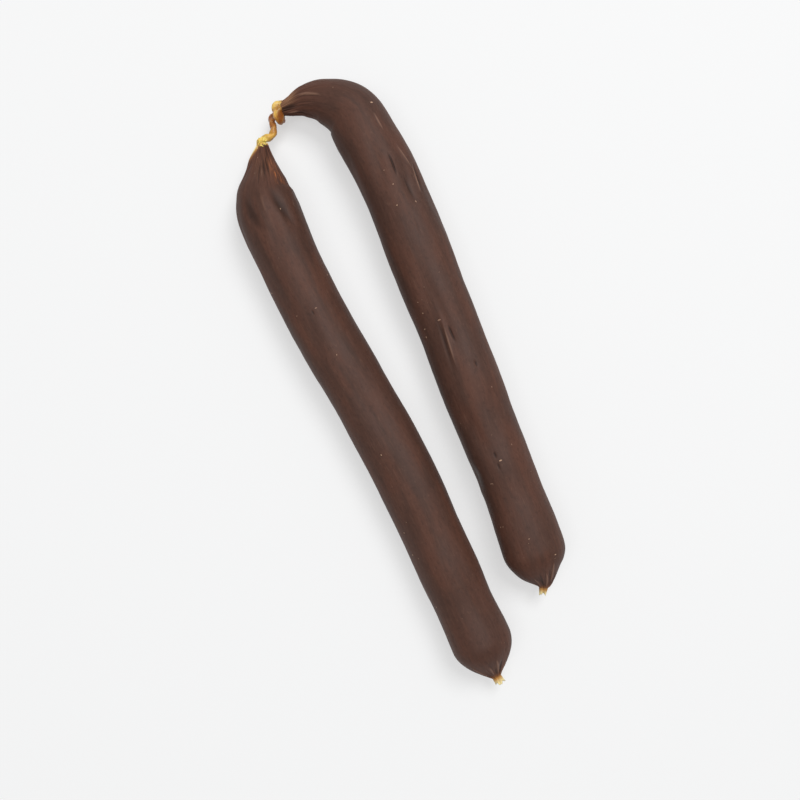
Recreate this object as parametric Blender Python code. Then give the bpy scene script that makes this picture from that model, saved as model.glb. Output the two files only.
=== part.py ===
"""A string of two dried sausage links, still joined by the twisted casing between them.

The string lies on a flat surface as it was laid down: the left link almost straight, the
right link hooked over at its head, and the bare casing corkscrewed from one to the other.
The casing runs through from end to end, so the string is one piece and one solid.
Units are metres, +Z is up, +Y points along the links to the joined ends, and the origin is
in the middle of the string, on the surface that it lies on.
"""

import math
import random

import bmesh
import bpy
from mathutils import Vector

# Sizes of a link's round body
SECTION_HEIGHT = 0.95
REST_DEPTH = 0.00035
GIRTH_WAVES = ((0.007, 0.041), (0.005, 0.023))
SECTION_OVAL = 0.014
SECTION_LOBE = 0.010
LOBE_LEAD = 1.0
SECTION_TWIST = 4.0

# Sizes of a link's gathered ends, where the casing is tied off
TIE_RADIUS = 0.0015
NUB_RADIUS = 0.0012
NUB_LENGTH = 0.0021
NUB_FLARE = 0.18
NUB_HOLLOW = 0.0005
FREE_TAPER = 0.0125
PLEATS = 14
PLEAT_DEPTH = 0.00050
PLEAT_SHARE = 0.26
PLEAT_STRENGTH = (0.55, 1.0)
PLEAT_SINK = 0.5
FREE_PLEAT_REACH = 0.0095
HEAD_PLEAT_REACH = 0.0150

# The left link's middle line seen from above, and its body's radius at each point, from the
# free end to the twist
LEFT_LINE = (
    (-0.0083, -0.0945, 0.0094),
    (-0.0086, -0.0910, 0.0094),
    (-0.0087, -0.0805, 0.0094),
    (-0.0092, -0.0680, 0.0090),
    (-0.0095, -0.0565, 0.0092),
    (-0.0106, -0.0255, 0.0093),
    (-0.0135, 0.0015, 0.0092),
    (-0.0166, 0.0245, 0.0093),
    (-0.0180, 0.0425, 0.0094),
    (-0.0184, 0.0605, 0.0097),
    (-0.0175, 0.0688, 0.0096),
    (-0.0160, 0.0733, 0.0093),
    (-0.0143, 0.0777, 0.0092),
    (-0.0121, 0.0837, 0.0097),
)
LEFT_TIP_HEIGHT = 0.0062
LEFT_HEAD_HEIGHT = 0.0074
LEFT_HEAD_TAPER = 0.0225
LEFT_HEAD_FULLNESS = 1.30

# The right link's, from its free end round the hooked head to the twist
RIGHT_LINE = (
    (0.0144, -0.0750, 0.0095),
    (0.0142, -0.0716, 0.0095),
    (0.0158, -0.0660, 0.0095),
    (0.0167, -0.0575, 0.0095),
    (0.0173, -0.0425, 0.0090),
    (0.0175, -0.0305, 0.0092),
    (0.0181, -0.0025, 0.0095),
    (0.0186, 0.0125, 0.0093),
    (0.0185, 0.0235, 0.0095),
    (0.0190, 0.0475, 0.0094),
    (0.0187, 0.0615, 0.0094),
    (0.0174, 0.0728, 0.0094),
    (0.0158, 0.0819, 0.0095),
    (0.0099, 0.0881, 0.0095),
    (0.0041, 0.0905, 0.0095),
    (-0.0003, 0.0908, 0.0094),
    (-0.0036, 0.0909, 0.0094),
)
RIGHT_TIP_HEIGHT = 0.0070
RIGHT_HEAD_HEIGHT = 0.0078
RIGHT_HEAD_TAPER = 0.0330
RIGHT_HEAD_FULLNESS = 0.95
RIGHT_MOUTH_RADIUS = 0.0018

# The bare casing between the links: its route, with the radius of the strand at each point
STRAND_ROUTE = (
    (-0.0137, 0.0812, 0.0076, 0.0009),
    (-0.0131, 0.0826, 0.0079, 0.0014),
    (-0.0122, 0.0838, 0.0081, 0.0015),
    (-0.0109, 0.0845, 0.0079, 0.0012),
    (-0.0092, 0.0845, 0.0075, 0.0011),
    (-0.0079, 0.0855, 0.0072, 0.0011),
    (-0.0073, 0.0870, 0.0069, 0.0010),
    (-0.0071, 0.0885, 0.0064, 0.0010),
    (-0.0068, 0.0900, 0.0054, 0.0010),
    (-0.0061, 0.0911, 0.0042, 0.0009),
    (-0.0048, 0.0912, 0.0035, 0.0009),
    (-0.0039, 0.0898, 0.0042, 0.0010),
    (-0.0041, 0.0882, 0.0060, 0.0010),
    (-0.0046, 0.0880, 0.0079, 0.0013),
    (-0.0045, 0.0892, 0.0089, 0.0015),
    (-0.0042, 0.0908, 0.0089, 0.0015),
    (-0.0034, 0.0919, 0.0086, 0.0012),
    (-0.0019, 0.0921, 0.0082, 0.0010),
    (0.0002, 0.0912, 0.0079, 0.0008),
)
STRAND_LOBES = 2
STRAND_GROOVE = 0.12
STRAND_TURN = 0.0052

# The hollows that drying has left where a link shows them best. Each has the distance of its
# middle from the link's head, its angle round the link, where 0 is on top and a quarter turn
# is to the right, its drift in angle from its middle to its end, half its length, its depth and
# its width. A negative depth is a fuller place.
LEFT_HOLLOWS = (
    (0.0044, -1.35, 0.00, 0.0055, -0.00080, 0.0025),
    (0.0125, 1.35, 0.00, 0.0075, -0.00080, 0.0040),
    (0.0215, -0.50, -0.20, 0.0090, 0.00060, 0.0019),
    (0.0222, 0.48, -0.26, 0.0110, 0.00060, 0.0018),
    (0.0290, 0.05, 0.20, 0.0120, 0.00045, 0.0024),
    (0.0600, -0.30, 0.25, 0.0160, 0.00045, 0.0026),
)
RIGHT_HOLLOWS = (
    (0.0035, 1.50, 0.00, 0.0055, 0.00060, 0.0030),
    (0.0480, 0.55, 0.20, 0.0150, 0.00060, 0.0020),
    (0.0400, -0.10, 0.30, 0.0130, 0.00045, 0.0024),
    (0.0850, -0.35, 0.25, 0.0170, 0.00045, 0.0026),
    (0.1250, 0.30, 0.20, 0.0150, 0.00040, 0.0026),
    (0.1387, -1.37, 0.00, 0.0060, 0.00070, 0.0030),
)

# The fainter valleys that run all over a link, drawn at random
VALLEYS_PER_LINK = 10
VALLEY_DEPTH = (0.00012, 0.00036)
VALLEY_WIDTH = (0.0012, 0.0024)
VALLEY_LENGTH = (0.022, 0.060)
VALLEY_DRIFT = 0.35
VALLEY_SPREAD = 0.3
VALLEY_LIMIT = 0.6
LEFT_SEED = 11
RIGHT_SEED = 29

# How finely the solid is faceted
LINK_SIDES = 44
STRAND_SIDES = 14
LINE_SAMPLES = 24
END_STEP = 0.0010
BODY_STEP = 0.0060
STRAND_STEP = 0.0006
CREASE_ANGLE = math.radians(50)

CASING_BROWN = (0.105, 0.052, 0.037, 1.0)
CASING_ROUGHNESS = 0.5


def clear_scene():
    for obj in list(bpy.data.objects):
        bpy.data.objects.remove(obj)


def smoothstep(share):
    share = min(max(share, 0.0), 1.0)
    return share * share * (3.0 - 2.0 * share)


def smooth_line(points, space):
    """Samples of a curve through the points, whose first two or three numbers are places.

    Each point's slope is that of its two neighbours, weighed by the length between them, so
    points close together in a bend and far apart on a straight still give an even curve.
    """
    count = len(points)
    gaps = [math.dist(a[:space], b[:space]) for a, b in zip(points, points[1:])]
    slopes = []
    for i in range(count):
        before, after = max(i - 1, 0), min(i + 1, count - 1)
        run = sum(gaps[before:after])
        slopes.append([(b - a) / run for a, b in zip(points[before], points[after])])
    samples = []
    for i, gap in enumerate(gaps):
        for k in range(LINE_SAMPLES):
            t = k / LINE_SAMPLES
            start, start_slope = 2 * t**3 - 3 * t**2 + 1, t**3 - 2 * t**2 + t
            end, end_slope = 3 * t**2 - 2 * t**3, t**3 - t**2
            samples.append([
                start * a + end * b + gap * (start_slope * sa + end_slope * sb)
                for a, b, sa, sb in zip(points[i], points[i + 1], slopes[i], slopes[i + 1])
            ])
    samples.append(list(points[-1]))
    return samples


class Line:
    """A smooth curve through points that gives its point at any distance along it."""

    def __init__(self, points, space):
        self.samples = smooth_line(points, space)
        self.at = [0.0]
        for a, b in zip(self.samples, self.samples[1:]):
            self.at.append(self.at[-1] + math.dist(a[:space], b[:space]))
        self.length = self.at[-1]

    def point(self, distance):
        distance = min(max(distance, 0.0), self.length)
        i = 1
        while i < len(self.at) - 1 and self.at[i] < distance:
            i += 1
        share = (distance - self.at[i - 1]) / (self.at[i] - self.at[i - 1])
        return [a + (b - a) * share for a, b in zip(self.samples[i - 1], self.samples[i])]


class Link:
    """One sausage link: where its middle line lies, and how its skin stands off that line."""

    def __init__(self, points, tip_height, head_height, head_taper, head_fullness, mouth_radius,
                 hollows, seed):
        self.line = Line(points, 2)
        self.length = self.line.length
        self.tip_height = tip_height
        self.head_height = head_height
        self.head_taper = head_taper
        self.head_fullness = head_fullness
        self.mouth_radius = mouth_radius
        draw = random.Random(seed)
        self.wave_phases = [draw.uniform(0, math.tau) for _ in GIRTH_WAVES]
        self.section_turn = draw.uniform(0, math.tau)
        self.hollows = [(self.length - from_head, *rest) for from_head, *rest in hollows]
        self.hollows += [self.draw_valley(draw, i) for i in range(VALLEYS_PER_LINK)]
        self.pleat_strengths = [draw.uniform(*PLEAT_STRENGTH) for _ in range(PLEATS)]

    def draw_valley(self, draw, i):
        """One valley: its middle, angle round the link, drift, half length, depth and width."""
        half = draw.uniform(*VALLEY_LENGTH) / 2
        middle = draw.uniform(FREE_TAPER, self.length - VALLEY_LIMIT * self.head_taper)
        angle = math.tau * (i + draw.uniform(-VALLEY_SPREAD, VALLEY_SPREAD)) / VALLEYS_PER_LINK
        drift = draw.uniform(-VALLEY_DRIFT, VALLEY_DRIFT)
        return middle, angle, drift, half, draw.uniform(*VALLEY_DEPTH), draw.uniform(*VALLEY_WIDTH)

    def body_radius(self, distance):
        waves = sum(
            share * math.sin(math.tau * distance / run + phase)
            for (share, run), phase in zip(GIRTH_WAVES, self.wave_phases)
        )
        return self.line.point(distance)[2] * (1.0 + waves)

    def fill(self, distance):
        """How full the link is there, from 0 at either tie to 1 along the body."""
        from_tie = (distance - NUB_LENGTH) / FREE_TAPER
        from_head = (self.length - distance) / self.head_taper
        free = math.sin(min(max(from_tie, 0.0), 1.0) * math.pi / 2)
        head = math.sin(min(max(from_head, 0.0), 1.0) * math.pi / 2) ** self.head_fullness
        return free * head

    def radius(self, distance):
        if distance < NUB_LENGTH:
            return NUB_RADIUS * (1.0 + NUB_FLARE * (1.0 - distance / NUB_LENGTH))
        near_head = distance > self.length / 2
        tie = self.mouth_radius if near_head else TIE_RADIUS
        return tie + (self.body_radius(distance) - tie) * self.fill(distance)

    def height(self, distance):
        """The middle line's height: low enough to rest on the body, and lifted at each end."""
        resting = SECTION_HEIGHT * self.body_radius(distance) - REST_DEPTH
        near_head = distance > self.length / 2
        end = self.head_height if near_head else self.tip_height
        return end + (resting - end) * smoothstep(self.fill(distance))

    def pleat(self, angle, distance, radius):
        """The folds that run out from a tie, each as deep as it was drawn."""
        to_free, to_head = distance - NUB_LENGTH, self.length - distance
        left = 1.0 - smoothstep(min(to_free / FREE_PLEAT_REACH, to_head / HEAD_PLEAT_REACH))
        place = (angle / math.tau * PLEATS) % PLEATS
        strength = self.pleat_strengths[int(place)]
        fold = min(PLEAT_DEPTH, PLEAT_SHARE * radius) * left * strength
        return fold * (abs(2.0 * (place % 1.0) - 1.0) * 2.0 - 1.0 - PLEAT_SINK)

    def relief(self, angle, distance, radius):
        """How far the skin stands in or out of the plain round, from folds and drying."""
        turn = angle - self.section_turn - SECTION_TWIST * distance / self.length
        out = radius * SECTION_OVAL * math.cos(2 * turn)
        out += radius * SECTION_LOBE * math.cos(3 * turn + LOBE_LEAD)
        out += self.pleat(angle, distance, radius)
        for middle, at, drift, half, depth, width in self.hollows:
            along = (distance - middle) / half
            if abs(along) < 1.0:
                away = (angle - at - drift * along + math.pi) % math.tau - math.pi
                out -= depth * (1.0 - along**2) ** 2 * math.exp(-((away * radius / width) ** 2))
        return out

    def stations(self):
        """Distances along the link, close together at the ends and wide along the body."""
        found = [0.0]
        while found[-1] < self.length:
            to_end = min(found[-1] - NUB_LENGTH - FREE_TAPER / 2,
                         self.length - self.head_taper / 2 - found[-1])
            step = END_STEP + (BODY_STEP - END_STEP) * smoothstep(to_end / FREE_TAPER)
            found.append(found[-1] + step)
        return [distance * self.length / found[-1] for distance in found]

    def ring(self, distance):
        """The points of one cross-section, put down on the surface where it would go below."""
        x, y = self.line.point(distance)[:2]
        ahead = Vector(self.line.point(distance + END_STEP / 2)[:2])
        behind = Vector(self.line.point(distance - END_STEP / 2)[:2])
        heading = (ahead - behind).normalized()
        side = Vector((heading.y, -heading.x))
        radius, height = self.radius(distance), self.height(distance)
        points = []
        for i in range(LINK_SIDES):
            angle = math.tau * i / LINK_SIDES
            reach = radius + self.relief(angle, distance, radius)
            across = reach * math.sin(angle)
            up = reach * SECTION_HEIGHT * math.cos(angle)
            points.append(Vector((x + side.x * across, y + side.y * across, max(height + up, 0.0))))
        return points

    def rings(self):
        return [self.ring(distance) for distance in self.stations()]


def strand_rings():
    """Cross-sections of the twisted casing, carried along its route without turning over."""
    line = Line(STRAND_ROUTE, 3)
    count = round(line.length / STRAND_STEP)
    across, rings = Vector((0.0, 0.0, 1.0)), []
    for i in range(count + 1):
        distance = line.length * i / count
        x, y, z, radius = line.point(distance)
        ahead = Vector(line.point(distance + STRAND_STEP)[:3])
        behind = Vector(line.point(distance - STRAND_STEP)[:3])
        heading = (ahead - behind).normalized()
        across = (across - heading * across.dot(heading)).normalized()
        other = heading.cross(across)
        ring = []
        for k in range(STRAND_SIDES):
            angle = math.tau * k / STRAND_SIDES
            lobe = math.cos(STRAND_LOBES * (angle - math.tau * distance / STRAND_TURN))
            reach = radius * (1.0 + STRAND_GROOVE * lobe)
            ring.append(Vector((x, y, z)) + reach * (math.cos(angle) * across + math.sin(angle) * other))
        rings.append(ring)
    return rings


def skin(name, rings, hollow=0.0):
    """A closed object over the rings, with a middle point in each end, sunk by hollow."""
    body = bmesh.new()
    loops = [[body.verts.new(point) for point in ring] for ring in rings]
    sides = len(loops[0])
    for near, far in zip(loops, loops[1:]):
        for i in range(sides):
            j = (i + 1) % sides
            body.faces.new((near[i], near[j], far[j], far[i]))
    for loop, inner in ((loops[0], rings[1]), (loops[-1], rings[-2])):
        middle = sum((vert.co for vert in loop), Vector()) / sides
        inward = (sum(inner, Vector()) / sides - middle).normalized()
        centre = body.verts.new(middle + inward * hollow)
        for i in range(sides):
            body.faces.new((loop[i], loop[(i + 1) % sides], centre))
    bmesh.ops.recalc_face_normals(body, faces=body.faces)
    mesh = bpy.data.meshes.new(name)
    body.to_mesh(mesh)
    body.free()
    return bpy.data.objects.new(name, mesh)


def joined(name, pieces):
    """One object made of the pieces by a Boolean union, which is applied."""
    base, others = pieces[0], pieces[1:]
    bpy.context.scene.collection.objects.link(base)
    group = bpy.data.collections.new("casing_and_far_link")
    bpy.context.scene.collection.children.link(group)
    for piece in others:
        group.objects.link(piece)
    union = base.modifiers.new("union", "BOOLEAN")
    union.operation = "UNION"
    union.solver = "EXACT"
    union.operand_type = "COLLECTION"
    union.collection = group
    graph = bpy.context.evaluated_depsgraph_get()
    mesh = bpy.data.meshes.new_from_object(base.evaluated_get(graph))
    for piece in pieces:
        bpy.data.objects.remove(piece)
    bpy.data.collections.remove(group)
    mesh.name = name
    result = bpy.data.objects.new(name, mesh)
    bpy.context.scene.collection.objects.link(result)
    return result


def casing_material():
    material = bpy.data.materials.new("dried_casing_brown")
    material.use_nodes = True
    shader = material.node_tree.nodes["Principled BSDF"]
    shader.inputs["Base Color"].default_value = CASING_BROWN
    shader.inputs["Roughness"].default_value = CASING_ROUGHNESS
    shader.inputs["Metallic"].default_value = 0.0
    return material


def build():
    left = Link(LEFT_LINE, LEFT_TIP_HEIGHT, LEFT_HEAD_HEIGHT, LEFT_HEAD_TAPER,
                LEFT_HEAD_FULLNESS, TIE_RADIUS, LEFT_HOLLOWS, LEFT_SEED)
    right = Link(RIGHT_LINE, RIGHT_TIP_HEIGHT, RIGHT_HEAD_HEIGHT, RIGHT_HEAD_TAPER,
                 RIGHT_HEAD_FULLNESS, RIGHT_MOUTH_RADIUS, RIGHT_HOLLOWS, RIGHT_SEED)
    string = joined("sausage_string", [
        skin("left_link", left.rings(), NUB_HOLLOW),
        skin("right_link", right.rings(), NUB_HOLLOW),
        skin("twisted_casing", strand_rings()),
    ])
    string.data.materials.clear()
    string.data.materials.append(casing_material())
    string.data.shade_smooth()
    string.data.set_sharp_from_angle(angle=CREASE_ANGLE)


clear_scene()
build()
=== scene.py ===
# %% [markdown]
# # A string of dried sausage links
#
# Two thin sausages, filled one after the other into one long natural casing and then dried until
# they are dark, hard and a little shrunken. Between them the empty casing was twisted shut, and it
# dried to a stiff amber strand. The plain solid of this string is loaded first, as a fixed frame.
# The cells below lay a finished skin over it: light and camera, the two links, the strand between
# them, and last the flakes of dry casing that cling to the skin.

# %% Load the plain solid
import math
import random

import bpy
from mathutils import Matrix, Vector
from mathutils.bvhtree import BVHTree


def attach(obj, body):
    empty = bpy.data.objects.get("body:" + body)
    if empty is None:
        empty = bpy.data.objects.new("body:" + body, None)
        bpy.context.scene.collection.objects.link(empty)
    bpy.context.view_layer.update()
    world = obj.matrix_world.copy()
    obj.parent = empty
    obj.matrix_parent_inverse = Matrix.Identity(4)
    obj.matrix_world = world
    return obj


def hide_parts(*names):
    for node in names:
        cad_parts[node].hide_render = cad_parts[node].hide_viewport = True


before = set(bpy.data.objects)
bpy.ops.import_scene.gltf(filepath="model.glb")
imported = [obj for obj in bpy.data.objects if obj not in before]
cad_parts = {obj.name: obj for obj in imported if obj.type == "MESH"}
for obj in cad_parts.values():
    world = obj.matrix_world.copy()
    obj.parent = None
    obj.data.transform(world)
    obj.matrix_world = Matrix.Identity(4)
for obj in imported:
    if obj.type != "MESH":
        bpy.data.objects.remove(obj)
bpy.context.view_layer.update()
MM = 1000.0

# %% [markdown]
# ## Camera
#
# The string is seen from straight above, with the links leaning to the left of upright. Moving the
# camera could be avoided by turning the object, but the object's own frame is fixed, so the camera
# turns about its line of sight instead. Its foot is the point on the table right below it.

# %% Camera
CAMERA_FOOT = (-0.00348, -0.00383)
CAMERA_HEIGHT = 0.310
CAMERA_TURN = math.radians(-22.5)
LENS = 45.1

camera_data = bpy.data.cameras.new("camera")
camera_data.lens = LENS
camera_data.sensor_width = 36.0
camera_data.clip_start = 0.01
camera = bpy.data.objects.new("camera", camera_data)
camera.location = (*CAMERA_FOOT, CAMERA_HEIGHT)
camera.rotation_euler = (0.0, 0.0, CAMERA_TURN)
bpy.context.scene.collection.objects.link(camera)
bpy.context.scene.camera = camera
print("camera", tuple(round(x, 4) for x in camera.location))

# %% [markdown]
# ## Light and table
#
# The skin is only half glossy, so soft, wide lamps model it best. One stands beyond the heads to
# the right, which leaves the left flanks dark, and one overhead draws the satin band along each
# link. They could stand nearer and smaller, but then the table would darken towards its edges. The
# table's surface has a faint painted glow of its own, with no lamp beneath it, so the shadows on it
# stay pale. A lamp's place is given as picture right, picture up and height.

# %% Lamps, world and table
LAMPS = {
    "beyond_heads": {"place": (0.42, 0.70, 1.35), "size": (0.80, 0.70), "power": 15.0},
    "overhead": {"place": (-0.15, -0.05, 1.10), "size": (0.40, 0.90), "power": 3.3},
}
WORLD_LIGHT = 0.30
TABLE_WHITE = (0.405, 0.408, 0.410, 1.0)
# Painted glow: the table's own emission, which pales the shadows on it.
TABLE_GLOW = 0.50
TABLE_SIDE = 3.0
TABLE_DROP = 0.0001


def from_picture(right, up, height):
    """The place that lies so far to the picture's right and up from the camera's foot."""
    turned = Vector((right, up, 0.0))
    turned.rotate(camera.rotation_euler)
    return turned + Vector((*CAMERA_FOOT, height))


for name, lamp in LAMPS.items():
    data = bpy.data.lights.new(name, "AREA")
    data.shape = "RECTANGLE"
    data.size, data.size_y = lamp["size"]
    data.energy = lamp["power"]
    light = bpy.data.objects.new(name, data)
    light.location = from_picture(*lamp["place"])
    aim = Vector((*CAMERA_FOOT, 0.0)) - light.location
    light.rotation_euler = aim.to_track_quat("-Z", "Y").to_euler()
    bpy.context.scene.collection.objects.link(light)
    print(name, [round(x, 3) for x in light.location])

world = bpy.data.worlds.new("pale_room")
world.use_nodes = True
world.node_tree.nodes["Background"].inputs["Color"].default_value = (1.0, 1.0, 1.0, 1.0)
world.node_tree.nodes["Background"].inputs["Strength"].default_value = WORLD_LIGHT
bpy.context.scene.world = world
bpy.context.scene.view_settings.view_transform = "Standard"

half = TABLE_SIDE / 2
corners = ((-half, -half), (half, -half), (half, half), (-half, half))
table_mesh = bpy.data.meshes.new("table")
table_mesh.from_pydata([(x, y, -TABLE_DROP) for x, y in corners], [], [(0, 1, 2, 3)])
table = bpy.data.objects.new("table", table_mesh)
table_white = bpy.data.materials.new("table_white")
table_white.use_nodes = True
for socket, value in (
    ("Base Color", TABLE_WHITE),
    ("Roughness", 0.9),
    ("Emission Color", (1.0, 1.0, 1.0, 1.0)),
    ("Emission Strength", TABLE_GLOW),
):
    table_white.node_tree.nodes["Principled BSDF"].inputs[socket].default_value = value
table_mesh.materials.append(table_white)
bpy.context.scene.collection.objects.link(table)

# %% [markdown]
# ## Sums of sockets
#
# Both shapes and finishes below are node trees. Their arithmetic could be wired by hand, one Math
# node at a time, but a formula is easier to read as a formula. So a small class wraps a socket and
# lets Python's own operators add the Math nodes, and one method adds any other node.

# %% A tree that is written as Python
class Value:
    """A socket that can stand in a Python sum, where each operator adds its Math node."""

    def __init__(self, tree, socket):
        self.tree, self.socket = tree, socket

    def __add__(self, other):
        return self.tree.math("ADD", self, other)

    def __sub__(self, other):
        return self.tree.math("SUBTRACT", self, other)

    def __rsub__(self, other):
        return self.tree.math("SUBTRACT", other, self)

    def __mul__(self, other):
        return self.tree.math("MULTIPLY", self, other)

    def __truediv__(self, other):
        return self.tree.math("DIVIDE", self, other)

    def __abs__(self):
        return self.tree.math("ABSOLUTE", self)

    __radd__ = __add__
    __rmul__ = __mul__


class Tree:
    """A node tree to which Python adds nodes."""

    def __init__(self, group):
        self.group = group
        self.entry = group.nodes.new("NodeGroupInput") if group.type == "GEOMETRY" else None

    def node(self, kind, settings=None, sockets=None, out=0):
        """Adds a node with its settings and its sockets' values or links, and gives an output."""
        made = self.group.nodes.new(kind)
        for name, setting in (settings or {}).items():
            if name == "stops":
                self.set_stops(made.color_ramp, setting)
            else:
                setattr(made, name, setting)
        for name, value in (sockets or {}).items():
            if isinstance(value, Value):
                self.group.links.new(value.socket, made.inputs[name])
            else:
                made.inputs[name].default_value = value
        return Value(self, made.outputs[out]) if made.outputs else None

    def set_stops(self, ramp, stops):
        while len(ramp.elements) < len(stops):
            ramp.elements.new(1.0)
        for element, (place, colour) in zip(ramp.elements, stops):
            element.position = place
            element.color = colour

    def math(self, operation, *values):
        return self.node("ShaderNodeMath", {"operation": operation}, dict(enumerate(values)))

    def vector(self, operation, *values):
        return self.node("ShaderNodeVectorMath", {"operation": operation}, dict(enumerate(values)))

    def scaled(self, vector, factor):
        sockets = {0: vector, "Scale": factor}
        return self.node("ShaderNodeVectorMath", {"operation": "SCALE"}, sockets)

    def dot(self, first, second):
        sockets = {0: first, 1: second}
        return self.node("ShaderNodeVectorMath", {"operation": "DOT_PRODUCT"}, sockets, out=1)

    def xyz(self, *values):
        return self.node("ShaderNodeCombineXYZ", None, dict(enumerate(values)))

    def smooth(self, value, low, high):
        """Runs smoothly from 0 where the value is low to 1 where it is high."""
        settings = {"interpolation_type": "SMOOTHSTEP"}
        sockets = {"Value": value, "From Min": low, "From Max": high}
        return self.node("ShaderNodeMapRange", settings, sockets)

    def noise(self, place, spacing, detail=2.0, roughness=0.5):
        """A smooth random value from 0 to 1, whose steps are as far apart as the spacing says."""
        steps = self.vector("DIVIDE", place, spacing)
        sockets = {"Vector": steps, "Scale": 1.0, "Detail": detail, "Roughness": roughness}
        return self.node("ShaderNodeTexNoise", None, sockets)

    def size(self, name):
        return Value(self, self.entry.outputs[name])

    def carried(self, name, kind="FLOAT"):
        """An attribute that the geometry carries."""
        return self.node("GeometryNodeInputNamedAttribute", {"data_type": kind}, {"Name": name})

    def stored(self, geometry, name, value, kind="FLOAT"):
        sockets = {"Geometry": geometry, "Name": name, "Value": value}
        return self.node("GeometryNodeStoreNamedAttribute", {"data_type": kind}, sockets)


print("sums of sockets may use + - * / and abs")

# %% [markdown]
# ## Growing a piece
#
# Each piece below is grown from a few points by its own Geometry Nodes tree. The modifier could
# stay on the object, but a plain mesh is what a reader of the finished object gets, so the result
# is taken out of the tree as a mesh, and its triangles are counted.

# %% From a tree to a plain mesh
def geometry_tree(name, sizes):
    """An empty Geometry Nodes tree with a named input for each size."""
    group = bpy.data.node_groups.new(name, "GeometryNodeTree")
    group.interface.new_socket("Geometry", in_out="INPUT", socket_type="NodeSocketGeometry")
    group.interface.new_socket("Geometry", in_out="OUTPUT", socket_type="NodeSocketGeometry")
    for size, value in sizes.items():
        kind = "NodeSocketInt" if isinstance(value, int) else "NodeSocketFloat"
        group.interface.new_socket(size, in_out="INPUT", socket_type=kind).default_value = value
    return Tree(group)


def close_tree(tree, geometry, material):
    """Ends a tree: shaded smooth, made real, with its material, and out."""
    smooth = tree.node("GeometryNodeSetShadeSmooth", None, {"Geometry": geometry})
    real = tree.node("GeometryNodeRealizeInstances", None, {"Geometry": smooth})
    finished = tree.node("GeometryNodeSetMaterial", None, {"Geometry": real, "Material": material})
    tree.node("NodeGroupOutput", None, {"Geometry": finished})


def grown(piece, tree, sizes, name):
    """Runs a tree on a piece with these sizes, and gives what it makes as a plain mesh object."""
    modifier = piece.modifiers.new(tree.group.name, "NODES")
    modifier.node_group = tree.group
    for item in tree.group.interface.items_tree:
        if item.in_out == "INPUT" and item.name in sizes:
            modifier[item.identifier] = sizes[item.name]
    bpy.context.scene.collection.objects.link(piece)
    graph = bpy.context.evaluated_depsgraph_get()
    evaluated = piece.evaluated_get(graph)
    mesh = bpy.data.meshes.new_from_object(evaluated, preserve_all_data_layers=True,
                                           depsgraph=graph)
    bpy.data.objects.remove(piece)
    mesh.name = name
    result = bpy.data.objects.new(name, mesh)
    bpy.context.scene.collection.objects.link(result)
    return result


def told(piece):
    """Prints what a finished piece holds. A negative volume would mean that it is inside out."""
    piece.data.calc_loop_triangles()
    triangles = piece.data.loop_triangles
    points = piece.data.vertices
    volume = sum(points[a].co.dot(points[b].co.cross(points[c].co)) for a, b, c in
                 (triangle.vertices for triangle in triangles)) / 6
    print(piece.name, len(triangles), "triangles,", round(volume * MM**3, 1), "cubic mm")


print("each piece ends as a plain mesh, with its triangles counted")

# %% [markdown]
# ## Lines through a few points
#
# A link's middle line, and the strand's route, are smooth curves through a few given points.
# Blender's own curves could do this, but the plain solid was drawn with the rule below, so the same
# rule keeps the finished skin on it.

# %% Smooth lines
LINE_SAMPLES = 24


def smoothstep(share):
    share = min(max(share, 0.0), 1.0)
    return share * share * (3.0 - 2.0 * share)


def smooth_line(points, space):
    """Samples of a curve through the points, whose first two or three numbers are places."""
    count = len(points)
    gaps = [math.dist(a[:space], b[:space]) for a, b in zip(points, points[1:])]
    slopes = []
    for i in range(count):
        before, after = max(i - 1, 0), min(i + 1, count - 1)
        run = sum(gaps[before:after])
        slopes.append([(b - a) / run for a, b in zip(points[before], points[after])])
    samples = []
    for i, gap in enumerate(gaps):
        for k in range(LINE_SAMPLES):
            t = k / LINE_SAMPLES
            start, start_slope = 2 * t**3 - 3 * t**2 + 1, t**3 - 2 * t**2 + t
            end, end_slope = 3 * t**2 - 2 * t**3, t**3 - t**2
            samples.append([
                start * a + end * b + gap * (start_slope * sa + end_slope * sb)
                for a, b, sa, sb in zip(points[i], points[i + 1], slopes[i], slopes[i + 1])
            ])
    samples.append(list(points[-1]))
    return samples


class Line:
    """A smooth curve through points that gives its point at any distance along it."""

    def __init__(self, points, space):
        self.samples = smooth_line(points, space)
        self.at = [0.0]
        for a, b in zip(self.samples, self.samples[1:]):
            self.at.append(self.at[-1] + math.dist(a[:space], b[:space]))
        self.length = self.at[-1]

    def point(self, distance):
        distance = min(max(distance, 0.0), self.length)
        i = 1
        while i < len(self.at) - 1 and self.at[i] < distance:
            i += 1
        share = (distance - self.at[i - 1]) / (self.at[i] - self.at[i - 1])
        return [a + (b - a) * share for a, b in zip(self.samples[i - 1], self.samples[i])]


print("a line has", LINE_SAMPLES, "samples between two of its points")

# %% [markdown]
# ## The form of a link
#
# A link is a round bag: full along its body, drawn in at both ends to the tie, and a little flat
# where it lies. The left one is nearly straight, and the right one hooks over at its head. Each
# list gives a middle line seen from above, with the body's radius, from the free tip to the head.

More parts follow.
